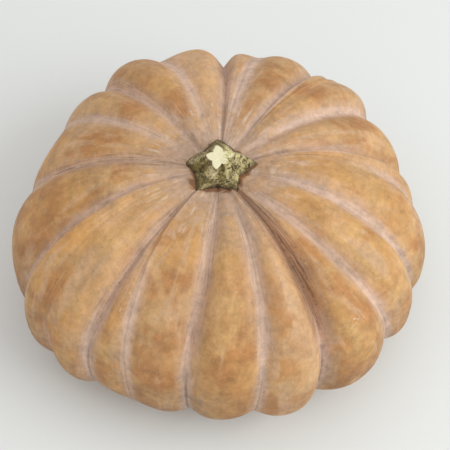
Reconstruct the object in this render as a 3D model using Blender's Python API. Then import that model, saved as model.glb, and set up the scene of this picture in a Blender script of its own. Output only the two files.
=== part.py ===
"""A ripe, flattened pumpkin with deep uneven ribs and a short cut stem.

Metres, +Z up. The origin is on the ground, below the middle of the pumpkin's bounding box. Both meshes are
drawn about the stem's own axis, which stands a little way from it. A bearing is an angle in degrees round
that axis, turning from +X towards +Y, and an angle down is measured from the stem to the underside.
"""

from collections import namedtuple
from math import acos, atan2, cos, exp, pi, radians, sin, sqrt, tau

import bmesh
import bpy
from mathutils import Vector

MM = 0.001

# The fruit's smooth body, before the ribs are raised on it
REACH = 0.170
CROWN_HEIGHT = 0.103
BELLY_DEPTH = 0.064
CROWN_DIP = 0.015
CROWN_DIP_RADIUS = 0.050
BLOSSOM_DIP = 0.010
BLOSSOM_DIP_RADIUS = 0.036
SEAT_RADIUS = 0.031
FLAT_SPOT_DEPTH = 0.0035

# How the meridian swells: 1 is an ellipse, and less is squarer
UPPER_REACH_POWER = 0.82
LOWER_REACH_POWER = 0.78
UPPER_HEIGHT_POWER = 0.85
LOWER_HEIGHT_POWER = 0.78

# The plan is not quite round: it bulges to the back, is a little oval and a little three-sided
BACK_BULGE = 0.030
BACK_BULGE_BEARING = 96
OVAL = 0.020
OVAL_BEARING = 86
THREE_SIDED = 0.025
THREE_SIDED_BEARING = -153

# A groove's bearings at the stem, at the widest level and underneath, its depth below the smooth body in
# millimetres, the angle down at which it begins, and how far the rib after it stands out in millimetres. Less
# than nothing is a faint groove high on a broad rib, or a low rib.
Groove = namedtuple("Groove", "at_stem at_widest underneath depth begins swell")
GROOVES = (
    Groove(-183, -187, -186, 7.5, 0, 1.5),
    Groove(-161, -155, -156, 6.5, 0, 4.0),
    Groove(-150, -142, -132, 4.0, 68, 2.0),
    Groove(-123, -127.5, -116, 7.5, 0, -5.0),
    Groove(-124, -115, -109, 4.5, 18, -3.0),
    Groove(-91, -99, -87, 9.5, 0, -0.5),
    Groove(-70, -79, -82, 6.0, 0, 2.0),
    Groove(-58, -60, -75, 13.5, 0, 2.0),
    Groove(-47, -36, -32, 7.0, 0, 1.5),
    Groove(-15, -20, -15, 7.0, 0, 3.5),
    Groove(8, 2, 3, 4.0, 25, -1.5),
    Groove(13, 12, 15, 12.0, 0, 0.0),
    Groove(31, 37, 30, 6.5, 0, 4.5),
    Groove(50, 51, 51, -0.5, 18, -2.0),
    Groove(53, 59, 60, 8.0, 0, -1.5),
    Groove(79, 75, 75, 6.0, 0, -8.0),
    Groove(84, 89.5, 88, 16.0, 0, -3.0),
    Groove(104, 112, 112, 5.0, 0, 4.5),
    Groove(131, 130, 130, 7.5, 0, -0.5),
    Groove(151, 148, 148, 4.5, 0, -5.5),
)
GROOVE_FADE_IN = 32
SHOULDER_DEEPENING = 0.5
RIB_ROUNDNESS = 2.3
RIB_FADE_AT_STEM = 0.75
RIB_FADE_UNDERNEATH = 1.1

# The stem: five ridges that flare from the cut face to the base, as bearings and reaches in millimetres
Ridge = namedtuple("Ridge", "base_bearing base_reach top_bearing top_reach")
RIDGES = (
    Ridge(3, 31.0, 15, 14.0),
    Ridge(91, 28.5, 97, 12.5),
    Ridge(171, 27.0, 168, 10.5),
    Ridge(230, 31.5, 257, 11.0),
    Ridge(299, 28.5, 316, 10.0),
)
STEM_HEIGHT = 0.015
STEM_LEAN_RIGHT = 0.0005
STEM_LEAN_FORWARD = 0.0045
BASE_VALLEY = 0.0205
TOP_VALLEY = 0.0062
FLARE_POWER = 1.3
RIDGE_SHARPNESS = 1.4
CUT_FACE_DISH = 0.0008
SEAT_GAP = 0.0003

# The meshes' fineness, how much closer the columns stand at a groove, the angle either side that the slope of
# the body is read over, and the angle within which a point is the pole
FRUIT_COLUMNS_PER_RIB = 10
FRUIT_ROWS = 26
STEM_COLUMNS_PER_RIDGE = 10
STEM_ROWS = 7
CROWDING_AT_GROOVES = 0.10
SLOPE_STEP = 0.01
POLE_MARGIN = 0.002

SKIN_COLOUR = (0.58, 0.31, 0.13)
SKIN_ROUGHNESS = 0.5
STEM_COLOUR = (0.19, 0.18, 0.06)
STEM_ROUGHNESS = 0.8


def between(values, share):
    """The curve through values at the stem, at the widest level and underneath, a share of the way down."""
    first, middle, last = values
    return (
        first * 2 * (share - 0.5) * (share - 1)
        - middle * 4 * share * (share - 1)
        + last * 2 * share * (share - 0.5)
    )


def eased(share):
    share = min(max(share, 0.0), 1.0)
    return share * share * (3 - 2 * share)


def meridian(down):
    """The smooth body's radius and height, from the widest level, at an angle down in radians."""
    rise = cos(down)
    if rise >= 0:
        radius = REACH * sin(down) ** UPPER_REACH_POWER
        dip = CROWN_DIP * exp(-((max(radius, SEAT_RADIUS) / CROWN_DIP_RADIUS) ** 2))
        return radius, CROWN_HEIGHT * rise**UPPER_HEIGHT_POWER - dip
    radius = REACH * sin(down) ** LOWER_REACH_POWER
    dip = BLOSSOM_DIP * exp(-((radius / BLOSSOM_DIP_RADIUS) ** 2))
    return radius, -BELLY_DEPTH * (-rise) ** LOWER_HEIGHT_POWER + dip


def seat_height():
    """The height of the flat seat that the stem grows on."""
    down = sin_inverse(SEAT_RADIUS / REACH, UPPER_REACH_POWER)
    return meridian(down)[1]


def sin_inverse(share, power):
    """The angle whose sine raised to a power is the given share."""
    return pi / 2 - acos(share ** (1 / power))


def plan_factor(bearing):
    """How much further than a circle the plan reaches on a bearing in radians."""
    return (
        1
        + BACK_BULGE * cos(bearing - radians(BACK_BULGE_BEARING))
        + OVAL * cos(2 * (bearing - radians(OVAL_BEARING)))
        + THREE_SIDED * cos(3 * (bearing - radians(THREE_SIDED_BEARING)))
    )


def groove_depth(groove, share):
    """A groove's depth in metres, at a share of the way down. It is deeper on the shoulder."""
    depth = groove.depth * MM
    if share < 0.5:
        depth *= 1 + SHOULDER_DEEPENING * sin(tau * share) ** 2
    if groove.begins == 0:
        return depth
    return depth * eased((share * 180 - groove.begins) / GROOVE_FADE_IN)


def fruit_point(down, turn):
    """The place of the fruit's skin at an angle down and a turn, which counts the ribs."""
    rib = int(turn) % len(GROOVES)
    across = turn - int(turn)
    left, right = GROOVES[rib], GROOVES[(rib + 1) % len(GROOVES)]
    share = down / pi
    first = between((left.at_stem, left.at_widest, left.underneath), share)
    last = between((right.at_stem, right.at_widest, right.underneath), share)
    if last < first - 180:
        last += 360
    across -= CROWDING_AT_GROOVES * sin(tau * across)
    bearing = radians(first + (last - first) * across)

    radius, height = meridian(down)
    before = meridian(max(down - SLOPE_STEP, POLE_MARGIN))
    after = meridian(min(down + SLOPE_STEP, pi - POLE_MARGIN))
    run, fall = after[0] - before[0], before[1] - after[1]
    slope = sqrt(run * run + fall * fall)

    bulge = 1 - abs(2 * across - 1) ** RIB_ROUNDNESS
    cut = (1 - across) * groove_depth(left, share) + across * groove_depth(right, share)
    fade = sin(down) ** (RIB_FADE_AT_STEM if down < pi / 2 else RIB_FADE_UNDERNEATH)
    lift = (left.swell * MM * bulge - cut * (1 - bulge)) * fade
    radius = radius * plan_factor(bearing) + lift * fall / slope
    height += lift * run / slope
    if down < sin_inverse(SEAT_RADIUS / REACH, UPPER_REACH_POWER):
        height = seat_height()
    return Vector((radius * cos(bearing), radius * sin(bearing), height))


def build_fruit():
    """A ball whose meridians become the grooves and the ribs between them, pressed flat where it rests."""
    bm = bmesh.new()
    columns = FRUIT_COLUMNS_PER_RIB * len(GROOVES)
    bmesh.ops.create_uvsphere(bm, u_segments=columns, v_segments=FRUIT_ROWS, radius=1.0)
    for vert in bm.verts:
        down = acos(min(max(vert.co.z, -1.0), 1.0))
        column = round((atan2(vert.co.y, vert.co.x) % tau) / tau * columns) % columns
        if down < POLE_MARGIN:
            vert.co = Vector((0, 0, seat_height()))
        elif down > pi - POLE_MARGIN:
            vert.co = Vector((0, 0, meridian(pi)[1]))
        else:
            vert.co = fruit_point(down, column / FRUIT_COLUMNS_PER_RIB)
    ground = min(vert.co.z for vert in bm.verts) + FLAT_SPOT_DEPTH
    for vert in bm.verts:
        vert.co.z = max(vert.co.z, ground)
    return mesh_object("fruit", bm)


def stem_point(turn, out, level):
    """The stem's skin at a turn that counts the ridges, a share of its reach and a level from 0 to 1."""
    flare = (1 - level) ** FLARE_POWER
    index = int(turn) % len(RIDGES)
    across = turn - int(turn)
    left, right = RIDGES[index], RIDGES[(index + 1) % len(RIDGES)]
    first = left.top_bearing + (left.base_bearing - left.top_bearing) * flare
    last = right.top_bearing + (right.base_bearing - right.top_bearing) * flare
    if last < first:
        last += 360
    bearing = radians(first + (last - first) * across)
    ridge_top = left.top_reach + (right.top_reach - left.top_reach) * across
    ridge_base = left.base_reach + (right.base_reach - left.base_reach) * across
    ridge = (ridge_top + (ridge_base - ridge_top) * flare) * MM
    valley = TOP_VALLEY + (BASE_VALLEY - TOP_VALLEY) * flare
    reach = out * (valley + (ridge - valley) * abs(2 * across - 1) ** RIDGE_SHARPNESS)
    dish = CUT_FACE_DISH * (1 - out) if level == 1 else 0
    rightward = reach * cos(bearing) + STEM_LEAN_RIGHT * level
    backward = reach * sin(bearing) - STEM_LEAN_FORWARD * level
    return Vector((rightward, backward, STEM_HEIGHT * level - dish))


def build_stem():
    """A turned blank whose columns become the five ridges and the hollows between them."""
    bm = bmesh.new()
    outline = [(0, 0)] + [(1, row / STEM_ROWS) for row in range(STEM_ROWS + 1)] + [(0.5, 1), (0, 1)]
    points = [bm.verts.new((out, 0, level)) for out, level in outline]
    for lower, upper in zip(points, points[1:]):
        bm.edges.new((lower, upper))
    columns = STEM_COLUMNS_PER_RIDGE * len(RIDGES)
    blank = bm.verts[:] + bm.edges[:]
    bmesh.ops.spin(bm, geom=blank, axis=(0, 0, 1), cent=(0, 0, 0), angle=tau, steps=columns, use_merge=True)
    bmesh.ops.remove_doubles(bm, verts=bm.verts, dist=0.0001)
    for vert in bm.verts:
        column = round((atan2(vert.co.y, vert.co.x) % tau) / tau * columns) % columns
        out = Vector((vert.co.x, vert.co.y)).length
        vert.co = stem_point(column / STEM_COLUMNS_PER_RIDGE, out, vert.co.z)
    return mesh_object("stem", bm)


def mesh_object(name, bm):
    if bm.calc_volume(signed=True) < 0:
        bmesh.ops.reverse_faces(bm, faces=bm.faces)
    mesh = bpy.data.meshes.new(name)
    bm.to_mesh(mesh)
    bm.free()
    mesh.shade_smooth()
    obj = bpy.data.objects.new(name, mesh)
    bpy.context.scene.collection.objects.link(obj)
    return obj


def give_material(obj, colour, roughness):
    material = bpy.data.materials.new(obj.name)
    material.use_nodes = True
    shader = material.node_tree.nodes["Principled BSDF"]
    shader.inputs["Base Color"].default_value = (*colour, 1)
    shader.inputs["Roughness"].default_value = roughness
    shader.inputs["Metallic"].default_value = 0
    material.diffuse_color = (*colour, 1)
    obj.data.materials.append(material)


def stand_on_ground(fruit, stem):
    """Moves both so that the origin is on the ground below the middle of the fruit's bounding box."""
    points = [vert.co for vert in fruit.data.vertices]
    low = [min(point[axis] for point in points) for axis in range(3)]
    high = [max(point[axis] for point in points) for axis in range(3)]
    fruit.location = (-(low[0] + high[0]) / 2, -(low[1] + high[1]) / 2, -low[2])
    stem.location = fruit.location + Vector((0, 0, seat_height() + SEAT_GAP))


for old in list(bpy.data.objects):
    bpy.data.objects.remove(old, do_unlink=True)
fruit = build_fruit()
give_material(fruit, SKIN_COLOUR, SKIN_ROUGHNESS)
stem = build_stem()
give_material(stem, STEM_COLOUR, STEM_ROUGHNESS)
stand_on_ground(fruit, stem)
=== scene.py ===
from collections import namedtuple
from math import acos, atan2, cos, degrees, exp, pi, radians, sin, sqrt, tau

import bmesh
import bpy
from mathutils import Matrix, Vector, noise


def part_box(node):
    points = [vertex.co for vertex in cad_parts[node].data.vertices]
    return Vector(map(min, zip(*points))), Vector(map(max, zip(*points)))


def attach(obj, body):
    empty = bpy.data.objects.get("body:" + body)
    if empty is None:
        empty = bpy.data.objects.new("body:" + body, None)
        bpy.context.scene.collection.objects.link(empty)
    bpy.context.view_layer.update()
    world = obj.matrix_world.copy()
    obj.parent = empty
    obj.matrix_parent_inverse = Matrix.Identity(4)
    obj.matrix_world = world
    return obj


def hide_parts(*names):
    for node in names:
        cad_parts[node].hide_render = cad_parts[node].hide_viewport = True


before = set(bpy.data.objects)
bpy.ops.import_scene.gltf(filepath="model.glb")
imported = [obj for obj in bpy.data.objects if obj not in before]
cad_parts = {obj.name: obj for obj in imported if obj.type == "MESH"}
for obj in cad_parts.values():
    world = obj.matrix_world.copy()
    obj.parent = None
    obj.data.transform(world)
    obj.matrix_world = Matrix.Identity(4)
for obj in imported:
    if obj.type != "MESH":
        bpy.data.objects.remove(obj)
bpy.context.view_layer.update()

# The studio: a camera that looks down on the pumpkin at 55 degrees, a pale floor, a broad soft light from the
# front right and a bright even surround that keeps the shaded side open.
LOOK_DOWN = radians(55)
CAMERA_DISTANCE = 0.850
CAMERA_AIM = Vector((0.0052, -0.0287, 0.102))
LENS_MM = 86
SENSOR_MM = 36
FLOOR_DROP = 0.0002
FLOOR_HALF_WIDTH = 4
FLOOR_COLOUR = (0.785, 0.825, 0.84, 1)
FLOOR_ROUGHNESS = 0.6
WINDOW_PLACE = Vector((1.63, -0.68, 1.22))
WINDOW_AIM = Vector((0, 0, 0.08))
WINDOW_WIDTH = 1.6
WINDOW_WATTS = 25.0
WINDOW_COLOUR = (0.97, 1.0, 0.97)
SURROUND_COLOUR = (1.0, 0.962, 0.925, 1)
SURROUND_STRENGTH = 0.80

scene = bpy.context.scene
camera_data = bpy.data.cameras.new("camera")
camera_data.lens = LENS_MM
camera_data.sensor_width = SENSOR_MM
camera = bpy.data.objects.new("camera", camera_data)
scene.collection.objects.link(camera)
look = Vector((0, cos(LOOK_DOWN), -sin(LOOK_DOWN)))
camera.location = CAMERA_AIM - look * CAMERA_DISTANCE
camera.rotation_euler = look.to_track_quat("-Z", "Y").to_euler()
scene.camera = camera

floor_bm = bmesh.new()
bmesh.ops.create_grid(floor_bm, x_segments=1, y_segments=1, size=FLOOR_HALF_WIDTH)
bmesh.ops.translate(floor_bm, verts=floor_bm.verts, vec=(0, 0, -FLOOR_DROP))
floor_mesh = bpy.data.meshes.new("floor")
floor_bm.to_mesh(floor_mesh)
floor_bm.free()
floor = bpy.data.objects.new("floor", floor_mesh)
scene.collection.objects.link(floor)
floor_paint = bpy.data.materials.new("floor")
floor_paint.use_nodes = True
floor_shader = floor_paint.node_tree.nodes["Principled BSDF"]
floor_shader.inputs["Base Color"].default_value = FLOOR_COLOUR
floor_shader.inputs["Roughness"].default_value = FLOOR_ROUGHNESS
floor_mesh.materials.append(floor_paint)

window_light = bpy.data.lights.new("window", "AREA")
window_light.shape = "SQUARE"
window_light.size = WINDOW_WIDTH
window_light.energy = WINDOW_WATTS
window_light.color = WINDOW_COLOUR
window = bpy.data.objects.new("window", window_light)
window.location = WINDOW_PLACE
window.rotation_euler = (WINDOW_AIM - WINDOW_PLACE).to_track_quat("-Z", "Y").to_euler()
scene.collection.objects.link(window)

surround = bpy.data.worlds.new("surround")
surround.use_nodes = True
surround_light = surround.node_tree.nodes["Background"]
surround_light.inputs["Color"].default_value = SURROUND_COLOUR
surround_light.inputs["Strength"].default_value = SURROUND_STRENGTH
scene.world = surround
scene.view_settings.view_transform = "Standard"

# The fruit: a ripe, flattened pumpkin grown as one piece, with twenty uneven ribs. The grooves between them
# run from the stem to the blossom end. It is pressed flat where it rests. Lengths are in metres.
MM = 0.001
REACH = 0.170
CROWN_HEIGHT = 0.103
BELLY_DEPTH = 0.064
CROWN_DIP = 0.015
CROWN_DIP_RADIUS = 0.050
BLOSSOM_DIP = 0.010
BLOSSOM_DIP_RADIUS = 0.036
FLAT_SPOT_DEPTH = 0.0035
UPPER_REACH_POWER = 0.82
LOWER_REACH_POWER = 0.78
UPPER_HEIGHT_POWER = 0.85
LOWER_HEIGHT_POWER = 0.78
BACK_BULGE = 0.030
BACK_BULGE_BEARING = 96
OVAL = 0.020
OVAL_BEARING = 86
THREE_SIDED = 0.025
THREE_SIDED_BEARING = -153

# A groove's bearings in degrees at the stem, at the widest level and underneath, its depth in millimetres,
# the angle down from the stem at which it begins, the swell of the rib after it in millimetres, how cracked
# its bottom is, and how deep the colour of the rib after it is, from -1, pale, to 1, rusty
Groove = namedtuple("Groove", "at_stem at_widest underneath depth begins swell cracked tone")
GROOVES = (
    Groove(-183, -187, -186, 7.5, 0, 1.5, 0.8, 0.3),
    Groove(-161, -155, -156, 6.5, 0, 4.0, 0.3, -0.1),
    Groove(-150, -142, -132, 4.0, 68, 2.0, 0.0, -0.3),
    Groove(-123, -127.5, -116, 7.5, 0, -5.0, 0.5, -0.2),
    Groove(-124, -115, -109, 4.5, 18, -3.0, 0.1, 0.0),
    Groove(-91, -99, -87, 9.5, 0, -0.5, 0.4, 0.5),
    Groove(-70, -79, -82, 6.0, 0, 2.0, 0.3, -0.4),
    Groove(-58, -60, -75, 13.5, 0, 2.0, 1.0, 0.1),
    Groove(-47, -36, -32, 7.0, 0, 1.5, 0.3, 0.0),
    Groove(-15, -20, -15, 7.0, 0, 3.5, 0.1, 0.2),
    Groove(8, 2, 3, 4.0, 25, -1.5, 0.0, 0.0),
    Groove(13, 12, 15, 12.0, 0, 0.0, 0.2, 0.3),
    Groove(31, 37, 30, 6.5, 0, 4.5, 0.1, 0.1),
    Groove(50, 51, 51, -0.5, 18, -2.0, 0.0, 0.0),
    Groove(53, 59, 60, 8.0, 0, -1.5, 0.1, 0.4),
    Groove(79, 75, 75, 6.0, 0, -8.0, 0.0, -0.3),
    Groove(84, 89.5, 88, 16.0, 0, -3.0, 0.2, -0.5),
    Groove(104, 112, 112, 5.0, 0, 4.5, 0.1, 0.5),
    Groove(131, 130, 130, 7.5, 0, -0.5, 0.4, 0.1),
    Groove(151, 148, 148, 4.5, 0, -5.5, 0.1, 0.0),
)
GROOVE_FADE_IN = 32
SHOULDER_DEEPENING = 0.5
RIB_ROUNDNESS = 2.3
RIB_FADE_AT_STEM = 0.75
RIB_FADE_UNDERNEATH = 1.1
CROWDING_AT_GROOVES = 0.10
COLUMNS_PER_RIB = 24
ROWS = 196
ROW_CROWDING_AT_ENDS = 0.08
BOTTOM_WIDTH_ABOVE = 0.0045
BOTTOM_WIDTH_BELOW = 0.0015
CRACKED_BOTTOM_WIDTH = 0.0012
WIDEST_BOTTOM_SHARE = 0.32
BOTTOM_NARROWS_DOWN = 34
BOTTOM_NARROWS_OVER = 36
SLOPE_STEP = 0.01
POLE_MARGIN = 0.0005

# The skin wavers a little in and out and sideways, less towards the stem
WAVER_HEIGHT = 0.00048
WAVER_TOP = 0.8
WAVER_SIDEWAYS = 0.0014
WAVER_LENGTH = 0.045
FINE_WAVER_HEIGHT = 0.35
FINE_WAVER_PACE = 3.1
SWERVE_SHIFT = Vector((7, 3, 5))
STEADY_WITHIN = 1.0
UPWARD_LEAN = 2

# What the skin's markings follow: the depth of a groove that is a full furrow, the corners of the stem's
# foot, as bearings in degrees and reaches in millimetres, the belly, and the blossom scar
FULL_FURROW_DEPTH = 0.007
DEEPEST_FURROW = 1.2
FOOT_CORNERS = ((-61, 28.5), (3, 28.5), (91, 27.0), (171, 25.0), (230, 30.5), (299, 28.5))
FAR_FROM_STEM = 500
TONE_FADE_WIDTH = 0.012
CRACKS_END_DOWN = 76
CRACKS_FADE = 30
BELLY_BEGINS_DOWN = 60
BELLY_FADE = 38
SCAR_RADIUS = 0.011


def between(values, share):
    """A value on the curve through the first, middle and last values."""
    first, middle, last = values
    return (
        first * 2 * (share - 0.5) * (share - 1)
        - middle * 4 * share * (share - 1)
        + last * 2 * share * (share - 0.5)
    )


def eased(share):
    """0 below 0, 1 above 1, and a smooth rise between them."""
    share = min(max(share, 0.0), 1.0)
    return share * share * (3 - 2 * share)


def meridian(down):
    """The smooth body's radius and height, from the widest level, at an angle down from the stem."""
    rise = cos(down)
    if rise >= 0:
        radius = REACH * sin(down) ** UPPER_REACH_POWER
        dip = CROWN_DIP * exp(-((radius / CROWN_DIP_RADIUS) ** 2))
        return radius, CROWN_HEIGHT * rise**UPPER_HEIGHT_POWER - dip
    radius = REACH * sin(down) ** LOWER_REACH_POWER
    dip = BLOSSOM_DIP * exp(-((radius / BLOSSOM_DIP_RADIUS) ** 2))
    return radius, -BELLY_DEPTH * (-rise) ** LOWER_HEIGHT_POWER + dip


def plan_factor(bearing):
    """How far the plan reaches on a bearing in radians, as a share of a circle's reach."""
    return (
        1
        + BACK_BULGE * cos(bearing - radians(BACK_BULGE_BEARING))
        + OVAL * cos(2 * (bearing - radians(OVAL_BEARING)))
        + THREE_SIDED * cos(3 * (bearing - radians(THREE_SIDED_BEARING)))
    )


def groove_depth(groove, share):
    """A groove's depth at a share of the way down from the stem."""
    depth = groove.depth * MM
    if share < 0.5:
        depth *= 1 + SHOULDER_DEEPENING * sin(tau * share) ** 2
    if groove.begins == 0:
        return depth
    return depth * eased((share * 180 - groove.begins) / GROOVE_FADE_IN)


Level = namedtuple("Level", "down radius height outward upward fade bearings depths")


def level_at(row):
    """What holds all round the fruit at one row of the mesh, counted from the stem."""
    share = row / ROWS
    share -= ROW_CROWDING_AT_ENDS * sin(tau * share)
    down = min(max(pi * share, POLE_MARGIN), pi - POLE_MARGIN)
    radius, height = meridian(down)
    before = meridian(max(down - SLOPE_STEP, POLE_MARGIN))
    after = meridian(min(down + SLOPE_STEP, pi - POLE_MARGIN))
    run, fall = after[0] - before[0], before[1] - after[1]
    slope = sqrt(run * run + fall * fall)
    fade = sin(down) ** (RIB_FADE_AT_STEM if down < pi / 2 else RIB_FADE_UNDERNEATH)
    bearings = [between((g.at_stem, g.at_widest, g.underneath), share) for g in GROOVES]
    bearings.append(bearings[0] + 360)
    depths = [groove_depth(g, share) for g in GROOVES]
    depths.append(depths[0])
    return Level(down, radius, height, fall / slope, run / slope, fade, bearings, depths)


def skin_point(level, turn):
    """The skin's place at a level and a turn that counts the ribs, how far round it the nearest groove lies,
    and that groove's number."""
    rib = int(turn)
    across = turn - rib
    across -= CROWDING_AT_GROOVES * sin(tau * across)
    first, last = level.bearings[rib], level.bearings[rib + 1]
    bearing = radians(first + (last - first) * across)
    width = max(level.radius * radians(last - first), POLE_MARGIN)
    nearest = rib if across < 0.5 else (rib + 1) % len(GROOVES)
    narrowed = eased((degrees(level.down) - BOTTOM_NARROWS_DOWN) / BOTTOM_NARROWS_OVER)
    bottom = BOTTOM_WIDTH_ABOVE + (BOTTOM_WIDTH_BELOW - BOTTOM_WIDTH_ABOVE) * narrowed
    bottom += (CRACKED_BOTTOM_WIDTH - bottom) * GROOVES[nearest].cracked
    bottom = min(bottom / width, WIDEST_BOTTOM_SHARE)
    side = min(across, 1 - across)
    rounded_side = min(sqrt(side * side + bottom * bottom), 0.5)
    hollow = ((1 - 2 * rounded_side) / (1 - 2 * bottom)) ** RIB_ROUNDNESS
    cut = (1 - across) * level.depths[rib] + across * level.depths[rib + 1]
    lift = (GROOVES[rib].swell * MM * (1 - hollow) - cut * hollow) * level.fade
    radius = level.radius * plan_factor(bearing) + lift * level.outward
    point = Vector((radius * cos(bearing), radius * sin(bearing), level.height + lift * level.upward))
    return point, side * width, nearest


def stem_foot_reach(bearing):
    """How far the edge of the stem's five-cornered foot is from its middle, on a bearing in radians."""
    start = FOOT_CORNERS[0][0]
    bearing = (degrees(bearing) - start) % 360 + start
    for (first, near), (last, far) in zip(FOOT_CORNERS, FOOT_CORNERS[1:]):
        if bearing <= last:
            break
    span, turned = radians(last - first), radians(bearing - first)
    return near * far * sin(span) / (near * sin(turned) + far * sin(span - turned)) * MM


def finished_piece(bm, name):
    """The object made of a closed mesh, with its faces outward."""
    if bm.calc_volume(signed=True) < 0:
        bmesh.ops.reverse_faces(bm, faces=bm.faces)
    mesh = bpy.data.meshes.new(name)
    bm.to_mesh(mesh)
    bm.free()
    mesh.shade_smooth()
    piece = bpy.data.objects.new(name, mesh)
    scene.collection.objects.link(piece)
    return piece


fruit_low, fruit_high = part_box("fruit")
bm = bmesh.new()
columns = COLUMNS_PER_RIB * len(GROOVES)
bmesh.ops.create_uvsphere(bm, u_segments=columns, v_segments=ROWS, radius=1.0)
from_groove_layer = bm.verts.layers.float.new("from_groove")
furrow_layer = bm.verts.layers.float.new("furrow")
cracked_layer = bm.verts.layers.float.new("cracked")
tone_layer = bm.verts.layers.float.new("tone")
from_stem_layer = bm.verts.layers.float.new("from_stem")
belly_layer = bm.verts.layers.float.new("belly")
scar_layer = bm.verts.layers.float.new("scar")
lengthwise_layer = bm.verts.layers.float_vector.new("lengthwise")
levels = [level_at(row) for row in range(ROWS + 1)]
for vert in bm.verts:
    level = levels[round(acos(min(max(vert.co.z, -1.0), 1.0)) / pi * ROWS)]
    column = round((atan2(vert.co.y, vert.co.x) % tau) / tau * columns) % columns
    turn = column / COLUMNS_PER_RIB
    point, from_groove, nearest = skin_point(level, turn)
    outward = Vector((point.x, point.y, point.z * UPWARD_LEAN)).normalized()
    sideways = outward.cross((0, 0, 1))
    spot = point / WAVER_LENGTH
    waver = noise.noise(spot) + FINE_WAVER_HEIGHT * noise.noise(spot * FINE_WAVER_PACE)
    swerve = noise.noise(spot + SWERVE_SHIFT)
    steady = min(level.down, STEADY_WITHIN)
    point -= outward * WAVER_HEIGHT * (WAVER_TOP - waver) * steady
    point += sideways * WAVER_SIDEWAYS * swerve * steady
    vert.co = point
    round_axis = Vector((point.x, point.y, 0)).length
    below = level.down > pi / 2
    vert[from_groove_layer] = from_groove / MM
    vert[furrow_layer] = min(max(level.depths[nearest] / FULL_FURROW_DEPTH, 0), DEEPEST_FURROW)
    crack_fade = eased((CRACKS_END_DOWN - degrees(level.down)) / CRACKS_FADE)
    vert[cracked_layer] = GROOVES[nearest].cracked * crack_fade
    vert[tone_layer] = GROOVES[int(turn)].tone * eased(from_groove / TONE_FADE_WIDTH)
    past_foot = (round_axis - stem_foot_reach(atan2(point.y, point.x))) / MM
    vert[from_stem_layer] = FAR_FROM_STEM if below else past_foot
    vert[belly_layer] = eased((degrees(level.down) - BELLY_BEGINS_DOWN) / BELLY_FADE)
    vert[scar_layer] = exp(-((round_axis / SCAR_RADIUS) ** 2)) if below else 0
    around = turn / len(GROOVES) * tau
    vert[lengthwise_layer] = Vector((cos(around), sin(around), level.down / pi))
ground = min(vert.co.z for vert in bm.verts) + FLAT_SPOT_DEPTH
axis_x = (fruit_low[0] + fruit_high[0]) / 2 - sum(f(v.co.x for v in bm.verts) for f in (min, max)) / 2
axis_y = (fruit_low[1] + fruit_high[1]) / 2 - sum(f(v.co.y for v in bm.verts) for f in (min, max)) / 2
for vert in bm.verts:
    vert.co.z = max(vert.co.z, ground)
bmesh.ops.translate(bm, verts=bm.verts, vec=(axis_x, axis_y, -ground))
fruit = finished_piece(bm, "ribbed_fruit")

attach(fruit, "root")
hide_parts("fruit")


def new_material(name, roughness):
    """A material with its tree and its Principled shader."""
    material = bpy.data.materials.new(name)
    material.use_nodes = True
    shader = material.node_tree.nodes["Principled BSDF"]
    shader.inputs["Roughness"].default_value = roughness
    return material, material.node_tree, shader


def place(tree, kind, **inputs):
    """A node whose named sockets are linked to other nodes' outputs or set to values."""
    made = tree.nodes.new(kind)
    for name, value in inputs.items():
        socket = made.inputs[name.replace("_", " ")]
        if isinstance(value, bpy.types.NodeSocket):
            tree.links.new(value, socket)
        else:
            socket.default_value = value
    return made


def blended(tree, share, first, second):
    """A colour part of the way from the first to the second."""
    mix = tree.nodes.new("ShaderNodeMix")
    mix.data_type = "RGBA"
    for index, value in ((0, share), (6, first), (7, second)):
        if isinstance(value, bpy.types.NodeSocket):
            tree.links.new(value, mix.inputs[index])
        else:
            mix.inputs[index].default_value = value if index == 0 else (*value, 1)
    return mix.outputs[2]


def worked(tree, operation, first, second=0.0, clamp=False):
    """The result of one arithmetic step."""
    step = tree.nodes.new("ShaderNodeMath")
    step.operation = operation
    step.use_clamp = clamp
    for index, value in enumerate((first, second)):
        if isinstance(value, bpy.types.NodeSocket):
            tree.links.new(value, step.inputs[index])
        else:
            step.inputs[index].default_value = value
    return step.outputs[0]


def rising(tree, value, start, end, height=1.0):
    """0 below the start, the height above the end, and a smooth rise between them."""
    span = tree.nodes.new("ShaderNodeMapRange")
    span.interpolation_type = "SMOOTHSTEP"
    tree.links.new(value, span.inputs["Value"])
    span.inputs["From Min"].default_value = start
    span.inputs["From Max"].default_value = end
    span.inputs["To Max"].default_value = height
    return span.outputs[0]


def clouds(tree, vector, scale, detail=4, roughness=0.55, distortion=0.0):
    """Soft noise, from 0 to 1."""
    return place(
        tree, "ShaderNodeTexNoise", Vector=vector, Scale=scale, Detail=detail, Roughness=roughness,
        Distortion=distortion
    ).outputs[0]


def attribute(tree, name):
    """One of the values laid down on the mesh's points."""
    found = tree.nodes.new("ShaderNodeAttribute")
    found.attribute_name = name
    return found.outputs["Fac"]


def both(tree, first, second, clamp=False):
    """The product of two masks, or of a mask and a strength."""
    return worked(tree, "MULTIPLY", first, second, clamp)


def centred(tree, mask):
    """A mask from 0 to 1 moved to lie about 0."""
    return worked(tree, "SUBTRACT", mask, 0.5)


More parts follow.
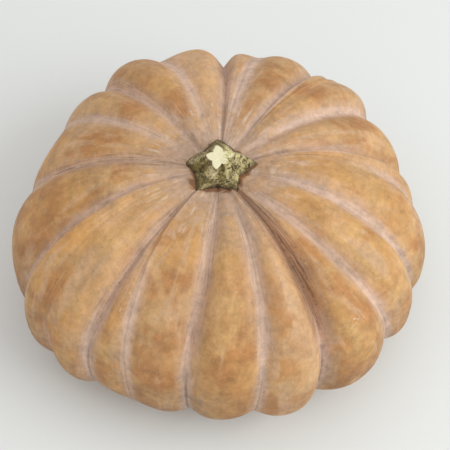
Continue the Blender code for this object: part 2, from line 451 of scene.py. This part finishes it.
# The skin: tan and ochre on the crests with rusty patches, pinker and paler beside the grooves and round the
# stem. A soft pinkish grey bloom lies in the grooves. It has brown freckles, pale scratches and fine dark
# cracks in the deepest grooves. Distances from a groove or the stem are in millimetres.
TAN = (0.57, 0.338, 0.158)
OCHRE = (0.565, 0.308, 0.110)
HONEY = (0.605, 0.370, 0.152)
RUST = (0.425, 0.190, 0.064)
PALE_TAN = (0.67, 0.440, 0.260)
PINK_TAN = (0.60, 0.396, 0.258)
FLANK_BROWN_AND_SHADE = (0.36, 0.165, 0.066)
BLOOM_PINK = (0.67, 0.490, 0.400)
BLOOM_GREY = (0.51, 0.380, 0.312)
LILAC_WHITE = (0.72, 0.590, 0.490)
PALE_SCAR_AND_GLINT = (0.72, 0.56, 0.39)
CRACK_BROWN = (0.17, 0.080, 0.042)
CORK = (0.30, 0.215, 0.140)
STEM_OCHRE = (0.50, 0.300, 0.155)
CREASE_SHADE_BROWN = (0.30, 0.190, 0.125)
RING_BROWN_AND_SHADE = (0.24, 0.100, 0.036)

SKIN_ROUGHNESS = 0.5
LEAST_ROUGHNESS = 0.42
SKIN_SHINE = 0.35
SKIN_RELIEF = 0.0014
LIGHTNESS_DROP = 0.165

# How many features of each pattern there are to a metre, and how far the streaks and lines are drawn out
WIDE_CLOUDS = 15
HUE_CLOUDS = 23
RIPE_PATCHES = 32
MOTTLES = 36
BLOTCHES = 78
GRAINS = 210
PORES = 520
FRECKLES = 170
SPECKS = 110
STREAK_STRETCH = 0.42
LINE_STRETCH = 0.16

skin, tree, shader = new_material("pumpkin_skin", SKIN_ROUGHNESS)
place_on_skin = tree.nodes.new("ShaderNodeTexCoord").outputs["Object"]


def along_ribs(stretch):
    """Places that follow the ribs, drawn out along them by a share of the way from stem to blossom end."""
    source = tree.nodes.new("ShaderNodeAttribute")
    source.attribute_name = "lengthwise"
    mapping = place(tree, "ShaderNodeMapping", Vector=source.outputs["Vector"])
    mapping.inputs["Scale"].default_value = (1, 1, stretch)
    return mapping.outputs[0]


def summed(tree, *parts):
    """The sum of masks, each times its weight."""
    total = None
    for mask, weight in parts:
        part = both(tree, mask, weight)
        total = part if total is None else worked(tree, "ADD", total, part)
    return total


lengthwise = along_ribs(STREAK_STRETCH)
long_lines = along_ribs(LINE_STRETCH)
clouds_wide = clouds(tree, place_on_skin, WIDE_CLOUDS, 3, 0.5, 0.3)
clouds_of_hue = clouds(tree, place_on_skin, HUE_CLOUDS, 3, 0.5, 0.5)
mottle = clouds(tree, place_on_skin, MOTTLES, 5, 0.55, 0.8)
ripeness = clouds(tree, place_on_skin, RIPE_PATCHES, 2, 0.45, 0.8)
blotches = clouds(tree, place_on_skin, BLOTCHES, 3, 0.5, 0.7)
grain = clouds(tree, place_on_skin, GRAINS, 5, 0.7)
streaks = clouds(tree, lengthwise, 24, 4, 0.55, 0.6)
fine_streaks = clouds(tree, long_lines, 56, 5, 0.65, 0.5)
unevenness = centred(tree, streaks)
raggedness = centred(tree, blotches)

# The colour of the ribs, deepest where they are ripest
tone = attribute(tree, "tone")
belly = attribute(tree, "belly")
colour = blended(tree, rising(tree, clouds_wide, 0.38, 0.60), TAN, OCHRE)
honeyed = rising(tree, summed(tree, (clouds_of_hue, 1.0), (belly, -0.06)), 0.47, 0.63, 0.65)
colour = blended(tree, honeyed, colour, HONEY)
patches = summed(tree, (ripeness, 0.62), (blotches, 0.12), (streaks, 0.26), (tone, 0.05), (belly, 0.07))
colour = blended(tree, rising(tree, patches, 0.45, 0.65, 0.85), colour, RUST)
unripe = rising(tree, summed(tree, (streaks, 1.0), (tone, 0.05)), 0.50, 0.34, 0.5)
colour = blended(tree, unripe, colour, PINK_TAN)
pale = summed(tree, (tone, -1.0), (mottle, -1.6))
colour = blended(tree, rising(tree, pale, -0.75, 0.05, 0.6), colour, PALE_TAN)

# The bloom in the grooves, and the pale skin beside them and round the stem
from_groove = attribute(tree, "from_groove")
furrow = attribute(tree, "furrow")
cracked = attribute(tree, "cracked")
from_stem = attribute(tree, "from_stem")
edge_of_bloom = summed(tree, (from_groove, 1.0), (unevenness, 8.0), (raggedness, 4.5))
flank = both(tree, rising(tree, edge_of_bloom, 12.0, 3.0), furrow, clamp=True)
colour = blended(tree, both(tree, flank, 0.55), colour, PINK_TAN)
# Brown on the flanks beside the cracked grooves: partly the skin's own brown, partly painted shade
brown_and_shaded_flank = both(tree, rising(tree, edge_of_bloom, 12.0, 2.0, 0.45), cracked)
colour = blended(tree, brown_and_shaded_flank, colour, FLANK_BROWN_AND_SHADE)
ragged_stem_edge = summed(tree, (from_stem, 1.0), (unevenness, 60.0), (raggedness, 40.0))
pinker = both(tree, rising(tree, ragged_stem_edge, 58.0, 12.0, 0.78), rising(tree, blotches, 0.60, 0.42))
colour = blended(tree, pinker, colour, PINK_TAN)
bloom_tone = rising(tree, clouds(tree, lengthwise, 13, 4, 0.6), 0.50, 0.68)
bloom_colour = blended(tree, bloom_tone, BLOOM_PINK, BLOOM_GREY)
bloom_in_groove = both(tree, rising(tree, edge_of_bloom, 6.5, 1.0), furrow, clamp=True)
uncracked = worked(tree, "SUBTRACT", 1.0, both(tree, cracked, 0.6))
bloom_in_groove = both(tree, bloom_in_groove, uncracked)
bloom = worked(tree, "MAXIMUM", bloom_in_groove, rising(tree, ragged_stem_edge, 32.0, 2.0, 0.6))
colour = blended(tree, both(tree, bloom, 0.86), colour, bloom_colour)
dusting = both(tree, rising(tree, streaks, 0.48, 0.66), rising(tree, blotches, 0.42, 0.60))
dusting = both(tree, dusting, rising(tree, from_stem, 76.0, 10.0, 0.9))
colour = blended(tree, dusting, colour, LILAC_WHITE)

# Ochre patches near the stem
ochre_patches = both(tree, rising(tree, mottle, 0.50, 0.62), rising(tree, from_stem, 70.0, 10.0, 0.6))
colour = blended(tree, ochre_patches, colour, STEM_OCHRE)

# Painted shade: a thin dark line low down in the bottom of each groove
crease_shade = rising(tree, summed(tree, (from_groove, 1.0), (unevenness, 2.0)), 1.5, 0.3, 0.55)
crease_shade = both(tree, crease_shade, both(tree, rising(tree, belly, 0.0, 0.6), furrow), clamp=True)
colour = blended(tree, crease_shade, colour, CREASE_SHADE_BROWN)

# The thin ring round the stem's foot: partly the brown skin that the foot grew out of, partly painted shade
# where the stem meets the skin
ring_and_contact_shade = rising(tree, summed(tree, (from_stem, 1.0), (raggedness, 16.0)), 2.2, -0.6, 0.85)
colour = blended(tree, ring_and_contact_shade, colour, RING_BROWN_AND_SHADE)

# Freckles, pale scratches, and pale specks that are painted tiny highlights, each in its own places
freckle_cells = place(tree, "ShaderNodeTexVoronoi", Vector=place_on_skin, Scale=FRECKLES)
freckle_spots = rising(tree, freckle_cells.outputs["Distance"], 0.15, 0.05)
freckles = both(tree, freckle_spots, rising(tree, clouds(tree, place_on_skin, 33, 3), 0.56, 0.64))
colour = blended(tree, both(tree, freckles, 0.55), colour, CRACK_BROWN)
# Painted highlights: small pale specks scattered over the skin
speck_cells = place(tree, "ShaderNodeTexVoronoi", Vector=place_on_skin, Scale=SPECKS)
speck_spots = rising(tree, speck_cells.outputs["Distance"], 0.11, 0.04)
specks = both(tree, speck_spots, rising(tree, clouds(tree, place_on_skin, 21, 3), 0.57, 0.62))
contours = worked(tree, "ABSOLUTE", centred(tree, clouds(tree, place_on_skin, 48, 1, 0.4, 1.2)))
scratch_pick = rising(tree, clouds(tree, place_on_skin, 52, 2, 0.5), 0.60, 0.65, 0.8)
scratches = both(tree, rising(tree, contours, 0.006, 0.001), scratch_pick)
pale_marks_and_glints = worked(tree, "MAXIMUM", specks, scratches)
colour = blended(tree, both(tree, pale_marks_and_glints, 0.7), colour, PALE_SCAR_AND_GLINT)

# The dark cracks, and the corky blossom scar underneath
crack_lines = rising(tree, clouds(tree, long_lines, 88, 4, 0.6, 0.6), 0.52, 0.60)
near_crack = both(tree, cracked, rising(tree, edge_of_bloom, 10.5, 1.0))
crack = both(tree, crack_lines, near_crack)
flecks = both(tree, rising(tree, grain, 0.55, 0.68), rising(tree, edge_of_bloom, 15.0, 4.0))
flecks = both(tree, flecks, cracked)
dark_marks = worked(tree, "MAXIMUM", both(tree, crack, 0.75), both(tree, flecks, 0.7))
colour = blended(tree, dark_marks, colour, CRACK_BROWN)
ragged_scar = worked(tree, "ADD", attribute(tree, "scar"), unevenness)
colour = blended(tree, rising(tree, ragged_scar, 0.35, 0.6), colour, CORK)

# Mottling and grain make the skin lighter and darker without changing its hue, and the skin is darker near
# the stem. Painted shade makes the lower half darker. Fine lines run out from the stem.
lined = both(tree, fine_streaks, rising(tree, from_stem, 70.0, 5.0))
near_stem = rising(tree, from_stem, 55.0, 5.0)
lightness = summed(
    tree,
    (grain, 0.82),
    (fine_streaks, 0.15),
    (lined, 0.10),
    (clouds_wide, 0.15),
    (mottle, 0.65),
    (blotches, 0.5),
    (tone, -0.09),
    # painted shade: darker on the lower half
    (belly, -0.22),
    (near_stem, -0.15),
)
lightness = worked(tree, "SUBTRACT", lightness, LIGHTNESS_DROP)
shaded = place(tree, "ShaderNodeHueSaturation", Color=colour, Value=lightness)
tree.links.new(shaded.outputs[0], shader.inputs["Base Color"])

rough = worked(tree, "ADD", summed(tree, (mottle, 0.2), (bloom, 0.25)), LEAST_ROUGHNESS)
tree.links.new(rough, shader.inputs["Roughness"])
shader.inputs["Specular IOR Level"].default_value = SKIN_SHINE

pores = clouds(tree, place_on_skin, PORES, 3, 0.6)
relief = summed(
    tree,
    (pores, 0.4),
    (grain, 0.8),
    (fine_streaks, 0.15),
    (lined, 0.25),
    (streaks, 0.5),
    (mottle, 2.5),
    (blotches, 1.5),
    (crack, -0.6),
)
bump = place(tree, "ShaderNodeBump", Height=relief, Strength=0.5, Distance=SKIN_RELIEF)
tree.links.new(bump.outputs[0], shader.inputs["Normal"])
fruit.data.materials.append(skin)

# The stem: a short woody stub grown on the crown, with five ridges that flare from the cut face to a
# five-cornered foot. Its rind is rough, dark olive brown with pale speckles. The cut face is pale pith. It
# and the rind below it are torn and speckled at the right.
Ridge = namedtuple("Ridge", "base_bearing base_reach top_bearing top_reach")
RIDGES = (
    Ridge(3, 31.0, 15, 14.0),
    Ridge(91, 28.5, 101, 12.5),
    Ridge(171, 27.0, 168, 10.5),
    Ridge(230, 31.5, 260, 12.5),
    Ridge(299, 28.5, 316, 10.0),
)
STEM_LEAN_RIGHT = 0.0005
STEM_LEAN_FORWARD = 0.0045
BASE_VALLEY = 0.0205
TOP_VALLEY = 0.0066
FLARE_POWER = 1.3
RIDGE_SHARPNESS = 1.4
TOP_BLUNTNESS = 0.05
TOP_SHARPNESS = 1.05
STEM_COLUMNS_PER_RIDGE = 28
STEM_ROWS = 30
CUT_ROWS = 8
MERGE_WITHIN = 0.0001
CUT_EDGE = 0.999
LUMP_HEIGHT = 0.0009
LUMP_TOP = 0.7
LUMP_LENGTH = 0.0045
FINE_LUMP_HEIGHT = 0.5
FINE_LUMP_PACE = 2.3
CUT_LUMPINESS = 0.5
TORN_FROM = 0.001
TORN_TO = 0.006
FOOT_SINK = 0.004
FOOT_SINK_POWER = 4
FOOT_FADE = 6
NEAR_CUT_POWER = 4
stem_low, stem_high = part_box("stem")
stem_height = stem_high[2] - stem_low[2]


def stem_point(turn, out, level):
    """A place at a turn that counts the ridges, a share of the way out and a share of the way up."""
    flare = (1 - level) ** FLARE_POWER
    index = int(turn) % len(RIDGES)
    across = turn - int(turn)
    left, right = RIDGES[index], RIDGES[(index + 1) % len(RIDGES)]
    first = left.top_bearing + (left.base_bearing - left.top_bearing) * flare
    last = right.top_bearing + (right.base_bearing - right.top_bearing) * flare
    if last < first:
        last += 360
    bearing = radians(first + (last - first) * across)
    ridge_top = left.top_reach + (right.top_reach - left.top_reach) * across
    ridge_base = left.base_reach + (right.base_reach - left.base_reach) * across
    ridge = (ridge_top + (ridge_base - ridge_top) * flare) * MM
    valley = TOP_VALLEY + (BASE_VALLEY - TOP_VALLEY) * flare
    blunt_from = 1 - TOP_BLUNTNESS * level
    blunted = min(abs(2 * across - 1), blunt_from) / blunt_from
    sharpness = TOP_SHARPNESS + (RIDGE_SHARPNESS - TOP_SHARPNESS) * flare
    reach = out * (valley + (ridge - valley) * blunted**sharpness)
    rightward = reach * cos(bearing) + STEM_LEAN_RIGHT * level
    backward = reach * sin(bearing) - STEM_LEAN_FORWARD * level
    sink = FOOT_SINK * (1 - level) ** FOOT_SINK_POWER
    return Vector((rightward, backward, stem_height * level - sink))


bm = bmesh.new()
outline = [(0, 0)] + [(1, row / STEM_ROWS) for row in range(STEM_ROWS + 1)]
outline += [(1 - row / CUT_ROWS, 1) for row in range(1, CUT_ROWS + 1)]
points = [bm.verts.new((out, 0, level)) for out, level in outline]
for lower, upper in zip(points, points[1:]):
    bm.edges.new((lower, upper))
stem_columns = STEM_COLUMNS_PER_RIDGE * len(RIDGES)
bmesh.ops.spin(
    bm,
    geom=bm.verts[:] + bm.edges[:],
    axis=(0, 0, 1),
    cent=(0, 0, 0),
    angle=tau,
    steps=stem_columns,
    use_merge=True,
)
bmesh.ops.remove_doubles(bm, verts=bm.verts, dist=MERGE_WITHIN)
cut_layer = bm.verts.layers.float.new("cut")
torn_layer = bm.verts.layers.float.new("torn")
foot_layer = bm.verts.layers.float.new("foot")
near_cut_layer = bm.verts.layers.float.new("near_cut")
for vert in bm.verts:
    column = round((atan2(vert.co.y, vert.co.x) % tau) / tau * stem_columns) % stem_columns
    out = Vector((vert.co.x, vert.co.y)).length
    level = vert.co.z
    point = stem_point(column / STEM_COLUMNS_PER_RIDGE, out, level)
    spot = point / LUMP_LENGTH
    lump = noise.noise(spot) + FINE_LUMP_HEIGHT * noise.noise(spot * FINE_LUMP_PACE)
    outward = Vector((point.x, point.y, 0)).normalized() if level < 1 else Vector((0, 0, CUT_LUMPINESS))
    point += outward * LUMP_HEIGHT * (min(lump, LUMP_TOP) - LUMP_TOP)
    vert[cut_layer] = 1.0 if level == 1 and out < CUT_EDGE else 0.0
    vert[torn_layer] = eased((point.x - STEM_LEAN_RIGHT - TORN_FROM) / (TORN_TO - TORN_FROM))
    vert[foot_layer] = exp(-level * FOOT_FADE)
    vert[near_cut_layer] = level**NEAR_CUT_POWER
    vert.co = point
bmesh.ops.translate(bm, verts=bm.verts, vec=(axis_x, axis_y, stem_low[2]))
stem = finished_piece(bm, "cut_stem")

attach(stem, "root")
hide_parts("stem")

DARK_RIND = (0.040, 0.030, 0.010)
OLIVE = (0.130, 0.100, 0.028)
MOSS = (0.24, 0.190, 0.055)
LICHEN = (0.72, 0.62, 0.36)
FOOT_BROWN_AND_SHADE = (0.055, 0.030, 0.010)
TORN_RIND = (0.72, 0.64, 0.33)
PITH = (0.88, 0.84, 0.58)
TORN_PITH = (0.56, 0.50, 0.20)
RIND_ROUGHNESS = 0.85
RIND_RELIEF = 0.0010

# How many features of each pattern there are to a metre
RIND_PATCHES = 110
LICHEN_PATCHES = 95
RIND_BLOTCHES = 260
RIND_SPECKS = 620

stem_skin, tree, shader = new_material("stem_skin", RIND_ROUGHNESS)
place_on_stem = tree.nodes.new("ShaderNodeTexCoord").outputs["Object"]
rind_patches = clouds(tree, place_on_stem, RIND_PATCHES, 4, 0.6)
rind_blotches = clouds(tree, place_on_stem, RIND_BLOTCHES, 5, 0.65)
rind_specks = clouds(tree, place_on_stem, RIND_SPECKS, 4, 0.75, 0.4)
lichen_patches = clouds(tree, place_on_stem, LICHEN_PATCHES, 3, 0.5, 0.6)
colour = blended(tree, rising(tree, rind_patches, 0.38, 0.60), OLIVE, MOSS)
colour = blended(tree, rising(tree, rind_blotches, 0.54, 0.40, 0.85), colour, DARK_RIND)
lichen = summed(tree, (rind_specks, 0.6), (lichen_patches, 0.4))
colour = blended(tree, rising(tree, lichen, 0.48, 0.62, 0.85), colour, LICHEN)

# The torn rind at the right, the dark foot (partly brown rind, partly painted shade where the stem meets the
# skin), and the cut face with its torn pith
torn = attribute(tree, "torn")
near_cut = both(tree, attribute(tree, "near_cut"), torn)
torn_side = summed(tree, (torn, 0.35), (near_cut, 0.25), (rind_patches, 1.0))
torn_rind = both(tree, rising(tree, torn_side, 0.74, 0.92), rising(tree, rind_blotches, 0.42, 0.56, 0.8))
colour = blended(tree, torn_rind, colour, TORN_RIND)
ragged_foot_and_shade = worked(tree, "ADD", attribute(tree, "foot"), centred(tree, rind_blotches))
colour = blended(tree, rising(tree, ragged_foot_and_shade, 0.25, 0.75, 0.9), colour, FOOT_BROWN_AND_SHADE)
pith = blended(tree, both(tree, torn, rising(tree, rind_specks, 0.42, 0.56)), PITH, TORN_PITH)
colour = blended(tree, attribute(tree, "cut"), colour, pith)
tree.links.new(colour, shader.inputs["Base Color"])
rind_relief = summed(tree, (rind_blotches, 1.5), (rind_specks, 1.0))
bump = place(tree, "ShaderNodeBump", Height=rind_relief, Strength=0.7, Distance=RIND_RELIEF)
tree.links.new(bump.outputs[0], shader.inputs["Normal"])
stem.data.materials.append(stem_skin)
